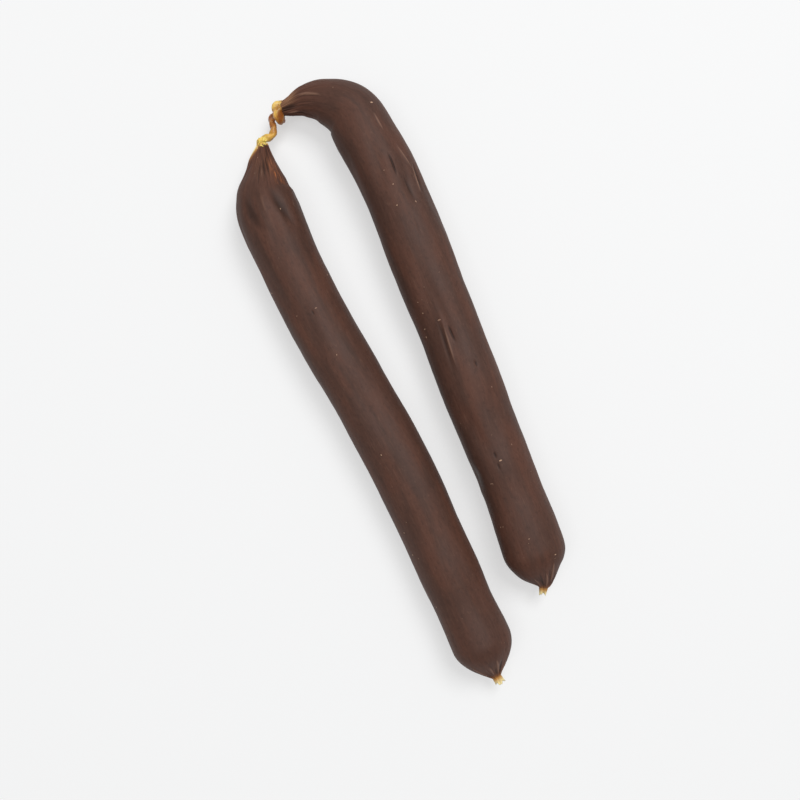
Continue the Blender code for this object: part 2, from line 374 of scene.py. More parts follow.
# %% Middle lines of the links
LEFT_LINE = (
    (-0.0083, -0.0945, 0.0094),
    (-0.0086, -0.0910, 0.0094),
    (-0.0087, -0.0805, 0.0094),
    (-0.0092, -0.0680, 0.0090),
    (-0.0095, -0.0565, 0.0092),
    (-0.0106, -0.0255, 0.0093),
    (-0.0135, 0.0015, 0.0092),
    (-0.0166, 0.0245, 0.0093),
    (-0.0180, 0.0425, 0.0094),
    (-0.0184, 0.0605, 0.0097),
    (-0.0175, 0.0688, 0.0096),
    (-0.0160, 0.0733, 0.0093),
    (-0.0143, 0.0777, 0.0092),
    (-0.0121, 0.0837, 0.0097),
)
RIGHT_LINE = (
    (0.0139, -0.0745, 0.0095),
    (0.0154, -0.0716, 0.0096),
    (0.0159, -0.0660, 0.0096),
    (0.0167, -0.0575, 0.0095),
    (0.0173, -0.0425, 0.0090),
    (0.0175, -0.0305, 0.0092),
    (0.0181, -0.0025, 0.0095),
    (0.0186, 0.0125, 0.0093),
    (0.0185, 0.0235, 0.0095),
    (0.0190, 0.0475, 0.0094),
    (0.0187, 0.0615, 0.0094),
    (0.0174, 0.0728, 0.0094),
    (0.0158, 0.0819, 0.0095),
    (0.0099, 0.0881, 0.0095),
    (0.0041, 0.0905, 0.0095),
    (-0.0003, 0.0908, 0.0094),
    (-0.0036, 0.0909, 0.0094),
)
print("middle lines through", len(LEFT_LINE), "and", len(RIGHT_LINE), "points")

# %% [markdown]
# ## Hollows and folds
#
# Drying leaves long hollows in the skin, and where a link was bent, sharp little folds. Those that
# are seen best are noted below, and the fainter ones are drawn at random with a fixed seed. Each
# mark has the distance of its middle from the link's head, or from its tip for a tip's folds, its
# angle round the link (0 on top, a quarter turn to the right), how far it drifts round from its
# middle to its end, half its length, its depth and its width. A mark of negative depth stands out
# as a ridge. The swells change only the form, and leave the colour alone. A tint does the reverse,
# and has its strength in place of a depth.

# %% Marks in the skin
LEFT_HOLLOWS = (
    (0.0215, -0.50, -0.20, 0.0090, 0.00060, 0.0019),
    (0.0222, 0.48, -0.26, 0.0110, 0.00060, 0.0018),
    (0.0290, 0.05, 0.20, 0.0120, 0.00045, 0.0024),
    (0.0600, -0.30, 0.25, 0.0160, 0.00045, 0.0026),
)
LEFT_SWELLS = (
    (0.0044, -1.35, 0.00, 0.0055, -0.00080, 0.0025),
    (0.0125, 1.35, 0.00, 0.0075, -0.00080, 0.0040),
)
LEFT_FOLDS = (
    (0.0105, -0.10, -0.03, 0.0060, 0.00026, 0.00028),
    (0.0092, 0.15, -0.15, 0.0060, 0.00026, 0.00028),
    (0.0080, 0.34, -0.12, 0.0052, 0.00022, 0.00026),
    (0.0090, 0.02, -0.06, 0.0050, -0.00016, 0.00034),
    (0.0222, 0.46, -0.26, 0.0110, 0.00014, 0.00150),
    (0.0225, -0.50, -0.20, 0.0075, 0.00014, 0.00150),
    (0.0215, -0.02, -0.02, 0.0100, -0.00012, 0.00070),
    (0.0226, 0.95, 0.00, 0.0026, -0.00016, 0.00026),
    (0.0552, -0.01, 0.00, 0.0010, 0.00030, 0.00030),
)
LEFT_TIP_FOLDS = (
    (0.0060, 0.33, -0.06, 0.0044, -0.00034, 0.00032),
    (0.0055, 0.85, 0.17, 0.0040, -0.00034, 0.00032),
    (0.0060, 0.55, 0.04, 0.0038, 0.00024, 0.00034),
    (0.0052, -0.10, 0.00, 0.0036, -0.00026, 0.00030),
    (0.0050, 0.12, -0.02, 0.0032, 0.00020, 0.00034),
    (0.0065, -0.75, -0.05, 0.0042, -0.00030, 0.00030),
    (0.0048, 1.20, 0.05, 0.0030, 0.00022, 0.00034),
)
# The last tint of each link paints a highlight along a ridge near its head.
LEFT_TINTS = {
    "bare": ((0.0020, -1.35, 0.00, 0.0055, 1.15, 0.0016),),
    "warm": ((0.0100, 0.78, -0.10, 0.0060, 1.00, 0.0014),),
    "tan": ((0.0075, 0.05, 0.00, 0.0070, 0.15, 0.0040),),
}
RIGHT_HOLLOWS = (
    (0.0480, 0.55, 0.20, 0.0150, 0.00060, 0.0020),
    (0.0400, -0.10, 0.30, 0.0130, 0.00045, 0.0024),
    (0.0850, -0.35, 0.25, 0.0170, 0.00045, 0.0026),
    (0.1250, 0.30, 0.20, 0.0150, 0.00040, 0.0026),
    (0.1387, -1.37, 0.00, 0.0060, 0.00070, 0.0030),
)
RIGHT_SWELLS = (
    (0.0035, 1.50, 0.00, 0.0055, 0.00060, 0.0030),
)
RIGHT_FOLDS = (
    (0.0022, 0.70, 0.00, 0.0032, -0.00036, 0.00050),
    (0.0030, -0.35, 0.00, 0.0036, 0.00026, 0.00100),
    (0.0034, -0.95, 0.00, 0.0028, -0.00022, 0.00040),
    (0.0095, 0.10, 0.25, 0.0065, -0.00022, 0.00050),
    (0.0310, 0.53, 0.00, 0.0048, -0.00024, 0.00030),
    (0.0442, 0.25, 0.04, 0.0042, 0.00060, 0.00026),
    (0.0430, 0.80, -0.12, 0.0062, -0.00028, 0.00032),
    (0.0505, 0.86, 0.11, 0.0062, -0.00028, 0.00032),
    (0.0500, 0.97, 0.09, 0.0058, 0.00030, 0.00050),
    (0.0520, 0.45, -0.04, 0.0058, 0.00016, 0.00060),
    (0.0640, 0.20, 0.05, 0.0060, 0.00014, 0.00050),
    (0.0964, -0.07, -0.02, 0.0034, 0.00044, 0.00026),
    (0.0985, -0.25, 0.06, 0.0110, -0.00020, 0.00040),
    (0.0985, -0.38, 0.06, 0.0105, 0.00022, 0.00060),
    (0.1073, 0.32, 0.00, 0.0013, 0.00036, 0.00030),
    (0.1342, -0.17, 0.00, 0.0013, 0.00034, 0.00030),
    (0.1377, -0.19, 0.00, 0.0016, 0.00030, 0.00030),
)
RIGHT_TIP_FOLDS = (
    (0.0055, 0.20, -0.03, 0.0036, -0.00034, 0.00032),
    (0.0070, 0.55, -0.05, 0.0042, -0.00034, 0.00032),
    (0.0058, 0.38, -0.04, 0.0036, 0.00024, 0.00034),
    (0.0060, -0.14, 0.00, 0.0038, 0.00024, 0.00034),
    (0.0040, -1.00, -0.10, 0.0028, -0.00030, 0.00030),
    (0.0050, -0.50, 0.00, 0.0032, -0.00026, 0.00030),
    (0.0046, 0.90, 0.05, 0.0028, 0.00020, 0.00034),
)
RIGHT_TINTS = {
    "bare": (),
    "warm": (),
    "tan": ((0.0024, 0.70, 0.00, 0.0052, 1.90, 0.0024),),
}
VALLEYS_PER_LINK = 10
VALLEY_DEPTH = (0.00012, 0.00036)
VALLEY_WIDTH = (0.0012, 0.0024)
VALLEY_LENGTH = (0.022, 0.060)
VALLEY_DRIFT = 0.35
VALLEY_SPREAD = 0.3
VALLEY_LIMIT = 0.6
print("noted folds on the left link:", len(LEFT_FOLDS + LEFT_TIP_FOLDS))
print("noted folds on the right link:", len(RIGHT_FOLDS + RIGHT_TIP_FOLDS))

# %% [markdown]
# ## The link as stations along its line
#
# Each station along the line gets the numbers that a section of the link needs: its middle, the
# direction to its right, and how far the skin stands off. They could be spread over a finished
# mesh afterwards, but they are cheaper on the line, where Geometry Nodes pick them up.

# %% A link's stations
SECTION_HEIGHT = 0.95
SECTION_TWIST = 4.0
LOBE_LEAD = 1.0
REST_DEPTH = 0.00035
GIRTH_WAVES = ((0.007, 0.041), (0.005, 0.023))
TIE_RADIUS = 0.0015
NUB_RADIUS = 0.00135
NUB_LENGTH = 0.0021
NUB_MOUTH = ((0.04, 0.0008), (0.45, 0.0007), (0.85, 0.0003))
FREE_TAPER = 0.0125
END_STEP = 0.00022
BODY_STEP = 0.00056
END_REACH = 0.016


class Link:
    """One link: its middle line, its radius and height along it, and the marks in its skin."""

    def __init__(self, points, tip_height, head_height, head_taper, head_fullness, mouth_radius,
                 nub_flare, hollows, swells, folds, tip_folds, tints, seed):
        self.line = Line(points, 2)
        self.length = self.line.length
        self.tip_height, self.head_height = tip_height, head_height
        self.head_taper, self.head_fullness = head_taper, head_fullness
        self.mouth_radius, self.nub_flare = mouth_radius, nub_flare
        draw = random.Random(seed)
        self.wave_phases = [draw.uniform(0, math.tau) for _ in GIRTH_WAVES]
        self.section_turn = draw.uniform(0, math.tau)
        self.folds = self.from_tip(folds) + list(tip_folds)
        self.swells = self.from_tip(swells)
        self.tints = {name: self.from_tip(marks) for name, marks in tints.items()}
        self.marks = self.from_tip(hollows)
        self.marks += [self.draw_valley(draw, i) for i in range(VALLEYS_PER_LINK)]

    def from_tip(self, marks):
        """The marks with their distance from the head turned into one from the tip."""
        return [(self.length - from_head, *rest) for from_head, *rest in marks]

    def draw_valley(self, draw, i):
        half = draw.uniform(*VALLEY_LENGTH) / 2
        middle = draw.uniform(FREE_TAPER, self.length - VALLEY_LIMIT * self.head_taper)
        angle = math.tau * (i + draw.uniform(-VALLEY_SPREAD, VALLEY_SPREAD)) / VALLEYS_PER_LINK
        drift = draw.uniform(-VALLEY_DRIFT, VALLEY_DRIFT)
        return middle, angle, drift, half, draw.uniform(*VALLEY_DEPTH), draw.uniform(*VALLEY_WIDTH)

    def body_radius(self, distance):
        waves = sum(
            share * math.sin(math.tau * distance / run + phase)
            for (share, run), phase in zip(GIRTH_WAVES, self.wave_phases)
        )
        return self.line.point(distance)[2] * (1.0 + waves)

    def fill(self, distance):
        """How full the link is there, from 0 at either tie to 1 along the body."""
        from_tie = (distance - NUB_LENGTH) / FREE_TAPER
        from_head = (self.length - distance) / self.head_taper
        free = math.sin(min(max(from_tie, 0.0), 1.0) * math.pi / 2)
        head = math.sin(min(max(from_head, 0.0), 1.0) * math.pi / 2) ** self.head_fullness
        return free * head

    def radius(self, distance):
        if distance < NUB_LENGTH:
            return NUB_RADIUS * (1.0 + self.nub_flare * (1.0 - distance / NUB_LENGTH))
        tie = self.mouth_radius if distance > self.length / 2 else TIE_RADIUS
        return tie + (self.body_radius(distance) - tie) * self.fill(distance)

    def height(self, distance):
        resting = SECTION_HEIGHT * self.body_radius(distance) - REST_DEPTH
        end = self.head_height if distance > self.length / 2 else self.tip_height
        return end + (resting - end) * smoothstep(self.fill(distance))

    def heading(self, distance):
        ahead = Vector(self.line.point(distance + BODY_STEP)[:2])
        behind = Vector(self.line.point(distance - BODY_STEP)[:2])
        return (ahead - behind).normalized()

    def stations(self):
        """Distance, radius and inward shift of each section, the sunken mouth of the nub first."""
        found = [0.0]
        while found[-1] < self.length:
            to_end = min(found[-1], self.length - found[-1])
            step = END_STEP + (BODY_STEP - END_STEP) * smoothstep(to_end / END_REACH)
            found.append(found[-1] + step)
        runs = [distance * self.length / found[-1] for distance in found]
        mouth = [(0.0, share * self.radius(0.0), depth) for share, depth in NUB_MOUTH]
        return mouth + [(run, self.radius(run), 0.0) for run in runs]

    def outline(self, name):
        """The middle line as a mesh of edges, whose points carry each section's numbers."""
        stations = self.stations()
        centres, sides = [], []
        for run, _, shift in stations:
            x, y = self.line.point(run)[:2]
            ahead = self.heading(run)
            centres.append((x + ahead.x * shift, y + ahead.y * shift, self.height(run)))
            sides.append((ahead.y, -ahead.x, 0.0))
        mesh = bpy.data.meshes.new(name)
        mesh.from_pydata(centres, [(i, i + 1) for i in range(len(centres) - 1)], [])
        carry(mesh, "centre", centres)
        carry(mesh, "side", sides)
        carry(mesh, "run", [run for run, _, _ in stations])
        carry(mesh, "reach", [reach for _, reach, _ in stations])
        return bpy.data.objects.new(name, mesh)


def carry(mesh, name, values):
    """Puts a number or a vector on each of the mesh's points."""
    vectors = isinstance(values[0], tuple)
    attribute = mesh.attributes.new(name, "FLOAT_VECTOR" if vectors else "FLOAT", "POINT")
    flat = [x for vector in values for x in vector] if vectors else values
    attribute.data.foreach_set("vector" if vectors else "value", flat)


steps = [round(step * MM, 2) for step in (END_STEP, BODY_STEP)]
print("stations are", steps[0], "mm apart at a link's ends and", steps[1], "mm along its body")

# %% [markdown]
# ## The two links
#
# One class makes both links, and each gets its own numbers: how high its ends lie, over what length
# its head narrows towards the strand, and how full it stays there. They could be two classes, but
# only these numbers differ. The left head is short and pointed, and the right one long and drawn
# out. The seed fixes the faint hollows and the slow waves in the girth.

# %% Forms of both links
left = Link(
    LEFT_LINE,
    tip_height=0.0062,
    head_height=0.0074,
    head_taper=0.0225,
    head_fullness=1.30,
    mouth_radius=TIE_RADIUS,
    nub_flare=0.25,
    hollows=LEFT_HOLLOWS,
    swells=LEFT_SWELLS,
    folds=LEFT_FOLDS,
    tip_folds=LEFT_TIP_FOLDS,
    tints=LEFT_TINTS,
    seed=11,
)
right = Link(
    RIGHT_LINE,
    tip_height=0.0070,
    head_height=0.0078,
    head_taper=0.0330,
    head_fullness=0.95,
    mouth_radius=0.0018,
    nub_flare=-0.30,
    hollows=RIGHT_HOLLOWS,
    swells=RIGHT_SWELLS,
    folds=RIGHT_FOLDS,
    tip_folds=RIGHT_TIP_FOLDS,
    tints=RIGHT_TINTS,
    seed=29,
)
for name, link in (("left", left), ("right", right)):
    stations = len(link.stations())
    print(name, "link is", round(link.length * MM, 1), "mm long with", stations, "stations")

# %% [markdown]
# ## Colours of dried casing
#
# Over the meat the casing is dark brown, here and there redder, and dulled by fine lengthwise
# streaks. Where it is bare it dries to amber, and to pale yellow where it is thin and crumpled.
# Shade is painted dark into its grooves and creases, and highlight paler onto its ridges. One
# material covers a link and reads from the skin how bare it is there. The pattern follows the
# skin's own coordinates, so it runs round the hook of the right link instead of across it.

# %% Skin of the links
def srgb(red, green, blue):
    """A screen colour, as the linear colour that Blender wants."""
    channels = [value / 255 for value in (red, green, blue)]
    linear = [c / 12.92 if c < 0.04045 else ((c + 0.055) / 1.055) ** 2.4 for c in channels]
    return (*linear, 1.0)


BROWN = srgb(77, 50, 40)
RED_BROWN = srgb(90, 56, 43)
DARK_BROWN = srgb(62, 42, 34)
END_BROWN = srgb(104, 62, 46)
GROOVE_SHADE_BROWN = srgb(46, 28, 20)
TAN_AND_RIDGE_HIGHLIGHT = srgb(134, 100, 82)
NECK_HIGHLIGHT_TAN = srgb(146, 106, 78)
STREAK_ORANGE = srgb(184, 108, 60)
BARE_STOPS = (
    (0.0, srgb(84, 54, 43)),
    (0.35, srgb(124, 78, 48)),
    (0.65, srgb(188, 138, 74)),
    (1.0, srgb(244, 230, 172)),
)


def finish_material(name):
    material = bpy.data.materials.new(name)
    material.use_nodes = True
    material.node_tree.nodes.clear()
    return material, Tree(material.node_tree)


def mixed(tree, first, second, share):
    sockets = {0: share, 6: first, 7: second}
    return tree.node("ShaderNodeMix", {"data_type": "RGBA"}, sockets, out=2)


def attribute(tree, name, out="Fac"):
    return tree.node("ShaderNodeAttribute", {"attribute_name": name}, None, out=out)


skin_material, tree = finish_material("dried_skin")
place = attribute(tree, "skin", "Vector")
bare, relief, ends, warm, tan = (
    attribute(tree, name) for name in ("bare", "relief", "ends", "warm", "tan")
)
patches = tree.noise(place, (0.0060, 0.0060, 0.0160), 3.0)
shade = tree.noise(place, (0.0030, 0.0030, 0.0240), 2.0)
streaks = tree.noise(place, (0.00040, 0.00040, 0.0050), 3.0, 0.6)
mottle = tree.noise(place, (0.00090, 0.00090, 0.00160), 3.0, 0.7)
grain = tree.noise(place, (0.00022, 0.00022, 0.00040), 2.0, 0.7)
gathers = abs(tree.noise(place, (0.0022, 0.0022, 0.0220), 1.0) * 2.0 - 1.0)
crease = tree.smooth(gathers, 0.11, 0.02) * ends
brown = mixed(tree, BROWN, RED_BROWN, tree.smooth(patches, 0.36, 0.66) * 0.8)
brown = mixed(tree, brown, DARK_BROWN, tree.smooth(shade, 0.40, 0.75) * 0.55)
# The streaks and the mottle also shape the bump: their pale tan is partly the skin's tone and
# partly painted highlight on the rises, and the mottle's dark dents are painted shade.
brown = mixed(tree, brown, TAN_AND_RIDGE_HIGHLIGHT, tree.smooth(streaks, 0.50, 0.85) * 0.16)
brown = mixed(tree, brown, GROOVE_SHADE_BROWN, tree.smooth(mottle, 0.50, 0.30) * 0.30)
brown = mixed(tree, brown, TAN_AND_RIDGE_HIGHLIGHT, tree.smooth(mottle, 0.56, 0.80) * 0.16)
brown = mixed(tree, brown, END_BROWN, ends * 0.50)
# Painted highlight: pale tan along ridges near the heads, where the tints mark it.
brown = mixed(tree, brown, NECK_HIGHLIGHT_TAN, tan * tree.smooth(streaks, 0.30, 0.60))
brown = mixed(tree, brown, STREAK_ORANGE, warm * tree.smooth(streaks, 0.46, 0.60))
# Painted shade: the creases of the gathers near the ties and the grooves of the relief are
# darkened.
brown = mixed(tree, brown, GROOVE_SHADE_BROWN, crease * 0.60)
brown = mixed(tree, brown, GROOVE_SHADE_BROWN, tree.smooth(relief, -0.00003, -0.00030) * 0.85)
# Painted highlight: the raised relief is lightened.
brown = mixed(tree, brown, TAN_AND_RIDGE_HIGHLIGHT, tree.smooth(relief, 0.00004, 0.00020) * 0.65)
colour = mixed(tree, brown, tree.node("ShaderNodeValToRGB", {"stops": BARE_STOPS}, {"Fac": bare}),
               tree.smooth(bare, 0.02, 0.30))
bump = tree.node("ShaderNodeBump", None, {
    "Height": streaks * 0.4 + mottle * 0.5 + grain * 0.3 - crease * 0.6,
    "Distance": 0.00008,
    "Strength": 0.6,
})
shader = tree.node("ShaderNodeBsdfPrincipled", None, {
    "Base Color": colour,
    "Roughness": 0.50 + patches * 0.14 + streaks * 0.08 + ends * 0.12,
    "Specular IOR Level": 0.30,
    "Normal": bump,
    "Coat Roughness": 0.35,
    "Coat Weight": bare * 0.3,
    "Subsurface Radius": (0.0015, 0.0007, 0.0004),
})
tree.node("ShaderNodeOutputMaterial", None, {"Surface": shader})
print("skin material with", len(skin_material.node_tree.nodes), "nodes")

# %% [markdown]
# ## The skin of a link
#
# A link's form follows a rule, so Geometry Nodes sweep it: a circle runs along the middle line, and
# the skin is then set out from the line by the numbers that the stations carry. A sculpted mesh
# would do too, but then nothing about it could be changed by a number. What the skin's relief needs
# to know of a point is worked out once: how far along it is, at what angle, and how far out. Noise
# is read on a cylinder wrapped round the link, so that it has no seam.

# %% Sizes of a skin
SKIN_SIZES = {
    "Sides": 240,
    "Length": 0.18,
    "Shift": 0.0,
    "Phase": 0.0,
    "Girth": 0.0094,
    "Section Height": SECTION_HEIGHT,
    "Oval": 0.014,
    "Lobe": 0.010,
    "Lump Height": 0.00036,
    "Wrinkle Depth": 0.00012,
    "Pleat Depth": 0.0005,
    "Pleat Share": 0.26,
    "Tip Pleat Reach": 0.0085,
    "Head Pleat Reach": 0.0170,
    "Pit Depth": 0.00016,
    "Torn Depth": 0.0030,
    "Tuft Share": 1.3,
    "Head Bare Reach": 0.0010,
    "Tip Bare Reach": 0.0040,
    "Head Ruddy Reach": 0.0220,
    "Tip Ruddy Reach": 0.0130,
}


class SkinPoint:
    """Where each point of a skin is on its link."""

    def __init__(self, tree):
        size = tree.size
        self.run, self.reach = tree.carried("run"), tree.carried("reach")
        self.angle = tree.carried("around") * math.tau
        self.sine, self.cosine = tree.math("SINE", self.angle), tree.math("COSINE", self.angle)
        self.from_head = size("Length") - self.run
        self.along = self.run + size("Shift")
        self.skin = tree.xyz(self.sine * size("Girth"), self.cosine * size("Girth"), self.along)
        self.on_nub = 1.0 - tree.smooth(self.run, 0.0, NUB_LENGTH)


print("a skin has", SKIN_SIZES["Sides"], "points round each section")

# %% [markdown]
# ## Relief of the skin
#
# Deep pleats fan out from each tie, where a wide casing is gathered into a narrow neck. Along the
# body run fine wrinkles, which come in patches, with soft lumps and a few pits between. A bump in
# the finish could fake them, but then the outline would stay smooth, so they are true relief. The
# absolute value of a noise has a sharp crease wherever the noise passes its middle, as a fold in
# dried skin has, and the noise is stretched along the link, so that the creases run lengthwise.

# %% Marks, pleats, wrinkles and pits
PLEAT_SPACING = (0.26, 0.26, 0.011)
PLEAT_RIDGE, PLEAT_VALLEY = 0.2, 2.2
WRINKLE_SPACING = (0.00085, 0.00085, 0.0060)
WRINKLE_RIDGE = 0.2
PATCH_SPACING = (0.0060, 0.0060, 0.0150)
PATCH_EDGE = (0.42, 0.66)
BETWEEN_PATCHES = 0.2
LUMP_SPACING = (0.0060, 0.0060, 0.0100)
PIT_SPACING = (0.0032, 0.0032, 0.0050)
PIT_RIM = (0.16, 0.02)
PIT_CHOICE = (0.80, 0.90)
NECK_REACH = (0.0016, 0.0080)


def mark_at(tree, at, mark):
    """How strongly a mark is felt at each point: 1 in its middle, 0 away from it."""
    middle, angle, drift, half, _, width = mark
    along = (at.run - middle) / half
    within = tree.math("MAXIMUM", 1.0 - along * along, 0.0)
    turn = tree.math("WRAP", at.angle - angle - along * drift, math.pi, -math.pi)
    away = turn * at.reach / width
    return within * within * tree.math("EXPONENT", away * away * -1.0)


def marked(tree, at, marks):
    """The sum of marks, each as strong as its fifth number says."""
    return sum((mark_at(tree, at, mark) * mark[4] for mark in marks), 0.0)


def pleats(tree, at):
    size = tree.size
    near_tip = 1.0 - tree.smooth(at.run, NUB_LENGTH, size("Tip Pleat Reach") + NUB_LENGTH)
    near_head = 1.0 - tree.smooth(at.from_head, 0.0, size("Head Pleat Reach"))
    noise = tree.noise(tree.xyz(at.sine, at.cosine, at.along), PLEAT_SPACING, 1.0)
    folded = PLEAT_RIDGE - abs(noise * 2.0 - 1.0) * PLEAT_VALLEY
    depth = tree.math("MINIMUM", size("Pleat Depth"), size("Pleat Share") * at.reach)
    return folded * tree.math("MAXIMUM", near_tip, near_head) * depth


def wrinkles(tree, at):
    patches = tree.smooth(tree.noise(at.skin, PATCH_SPACING, 1.0), *PATCH_EDGE)
    depth = (patches * (1.0 - BETWEEN_PATCHES) + BETWEEN_PATCHES) * tree.size("Wrinkle Depth")
    noise = tree.noise(at.skin, WRINKLE_SPACING, 2.0)
    return (abs(noise * 2.0 - 1.0) - WRINKLE_RIDGE) * depth


def pits(tree, at):
    spots = tree.vector("DIVIDE", at.skin, PIT_SPACING)
    pit = tree.node("ShaderNodeTexVoronoi", None, {"Vector": spots, "Scale": 1.0})
    middle = Value(tree, pit.socket.node.outputs["Position"])
    chosen = tree.node("ShaderNodeTexWhiteNoise", None, {"Vector": middle})
    return tree.smooth(pit, *PIT_RIM) * tree.smooth(chosen, *PIT_CHOICE) * tree.size("Pit Depth")


def lumps(tree, at):
    return (tree.noise(at.skin, LUMP_SPACING, 2.0) - 0.5) * tree.size("Lump Height")


def out_of_round(tree, at):
    """The share by which a section, a little oval and three-sided, stands off its circle."""
    turn = at.angle - tree.size("Phase") - at.run * SECTION_TWIST / tree.size("Length")
    oval = tree.math("COSINE", turn * 2.0) * tree.size("Oval")
    return oval + tree.math("COSINE", turn * 3.0 + LOBE_LEAD) * tree.size("Lobe")


print("pleats are up to", SKIN_SIZES["Pleat Depth"] * PLEAT_VALLEY * MM, "mm deep")

# %% [markdown]
# ## Sweeping the skin
#
# The relief is added to each point's distance from the middle line, and the point is put there. At
# the free tip the casing was cut behind its tie, so the nub's edge is torn: it is pulled out or in
# by a noise that runs round it. A link settles flat under its weight, so no point goes below the
# table. The tree also stores what the finish has to know: where the casing is bare or ruddy, where
# a highlight is painted on a ridge, and how deep the relief is, which the finish paints as shade in
# the grooves and as highlight on the ridges.

# %% The tree that sweeps a skin
TUFT_SPACING = (0.9, 0.9, 1.0)
TUFT_PULL, SIDE_PULL, TEAR_START = 1.5, 0.35, 0.2
BARE_RAGGEDNESS = 4.0
BARE_START = -0.0004
# PLEAT_TELL and HOLLOW_TELL set how much pleats and hollows count in the painted shade and
# highlight.
PLEAT_TELL, HOLLOW_TELL = 0.6, 0.18


def torn_nub(tree, at):
    """How far back the nub's edge is torn, and by what share its tufts stand out."""
    place = tree.xyz(at.sine, at.cosine, tree.size("Shift"))
    tuft = tree.noise(place, TUFT_SPACING, 2.0) - 0.5
    torn = tuft * TUFT_PULL + at.sine * at.sine * SIDE_PULL - TEAR_START
    return torn * tree.size("Torn Depth") * at.on_nub, tuft * tree.size("Tuft Share") * at.on_nub


def set_out(tree, at, out, torn):
    """The place of each point: so far out from the middle line, and never below the table."""
    side = tree.carried("side", "FLOAT_VECTOR")
    back = tree.vector("CROSS_PRODUCT", side, (0.0, 0.0, 1.0))
    across = tree.scaled(side, out * at.sine)
    upward = tree.xyz(0.0, 0.0, out * at.cosine * tree.size("Section Height"))
    middle = tree.vector("ADD", tree.carried("centre", "FLOAT_VECTOR"), tree.scaled(back, torn))
    spot = tree.node("ShaderNodeSeparateXYZ", None,
                     {0: tree.vector("ADD", tree.vector("ADD", middle, across), upward)})
    x, y, z = (Value(tree, spot.socket.node.outputs[i]) for i in range(3))
    return tree.xyz(x, y, tree.math("MAXIMUM", z, 0.0))


def tinted(tree, at, link, torn, fine):
    """What the finish reads: how bare, ruddy and orange the casing is at each point, and where a
    highlight is painted.
    """
    size = tree.size
    bare_edge, warm, tan = (marked(tree, at, link.tints[name]) for name in ("bare", "warm", "tan"))
    ragged = at.run - torn + fine * BARE_RAGGEDNESS
    bare_tip = 1.0 - tree.smooth(ragged, BARE_START, size("Tip Bare Reach"))
    bare_head = 1.0 - tree.smooth(at.from_head, 0.0, size("Head Bare Reach"))
    ruddy_tip = 1.0 - tree.smooth(at.run, 0.0, size("Tip Ruddy Reach"))
    ruddy_head = 1.0 - tree.smooth(at.from_head, 0.0, size("Head Ruddy Reach"))
    bare = tree.math("MAXIMUM", tree.math("MAXIMUM", bare_tip, bare_head), bare_edge)
    ends = tree.math("MAXIMUM", ruddy_tip, ruddy_head)
    return {"bare": bare, "ends": ends, "warm": warm, "tan": tan}


def skin_tree(name, link):
    tree = geometry_tree(name, SKIN_SIZES)
    line = tree.node("GeometryNodeMeshToCurve", None, {"Mesh": tree.size("Geometry")})
    circle = tree.node("GeometryNodeCurvePrimitiveCircle", None, {"Resolution": tree.size("Sides")})
    circle = tree.stored(circle, "around", tree.node("GeometryNodeSplineParameter"))
    sweep = tree.node("GeometryNodeCurveToMesh", None,
                      {"Curve": line, "Profile Curve": circle, "Fill Caps": True})
    at = SkinPoint(tree)
    pleated, fine, pitted = pleats(tree, at), wrinkles(tree, at), pits(tree, at)
    hollow, swell = marked(tree, at, link.marks), marked(tree, at, link.swells)
    fold = marked(tree, at, link.folds)
    torn, tufted = torn_nub(tree, at)
    low_relief = (fine - pitted + lumps(tree, at)) * tree.smooth(at.reach, *NECK_REACH)
    out = at.reach + at.reach * out_of_round(tree, at) + pleated + low_relief
    out = (out - hollow - swell - fold) * (tufted + 1.0)
    spot = set_out(tree, at, out, torn)
    shaped = tree.node("GeometryNodeSetPosition", None, {"Geometry": sweep, "Position": spot})
    shaped = tree.stored(shaped, "skin", at.skin, "FLOAT_VECTOR")
    kept = tinted(tree, at, link, torn, fine)
    # The finish paints this relief as shade in the grooves and as highlight on the ridges.
    kept["relief"] = pleated * PLEAT_TELL + fine - pitted - fold - hollow * HOLLOW_TELL
    for attribute_name, value in kept.items():
        shaped = tree.stored(shaped, attribute_name, value)
    close_tree(tree, shaped, skin_material)
    return tree


print("the finish reads the skin's own coordinates and five numbers at each point")

# %% [markdown]
# ## Growing both skins
#
# The same tree makes both links, and only its sizes and marks differ. Afterwards the numbers that
# only the sweep needed are dropped, and the coordinates that the material reads are kept.

# %% Left and right link
def forget(piece, names):
    """Drops the numbers that only the tree needed."""
    for name in names:
        piece.data.attributes.remove(piece.data.attributes[name])


def link_piece(name, link, sizes):
    sizes = {**SKIN_SIZES, "Length": link.length, "Phase": link.section_turn, **sizes}
    tree = skin_tree(name + "_skin", link)
    piece = grown(link.outline(name + "_line"), tree, sizes, name)
    forget(piece, ("centre", "side", "run", "reach", "around"))
    told(piece)
    return piece


left_link = link_piece("left_link", left, {
    "Shift": 0.71,
    "Head Bare Reach": 0.0014,
    "Tip Bare Reach": 0.0048,
})
right_link = link_piece("right_link", right, {"Shift": 1.93})

# %% [markdown]
# ## The twisted strand
#
# Between the links the casing is empty. It was twisted like a rope of two, folded over itself next
# to the right link, and drawn into a crumpled knob at the left one's mouth. It is a sweep again,
# because it follows a path: Geometry Nodes carry a circle along the route without letting it turn
# over, then cut the groove of the twist and crumple the surface. The route's points have a radius.

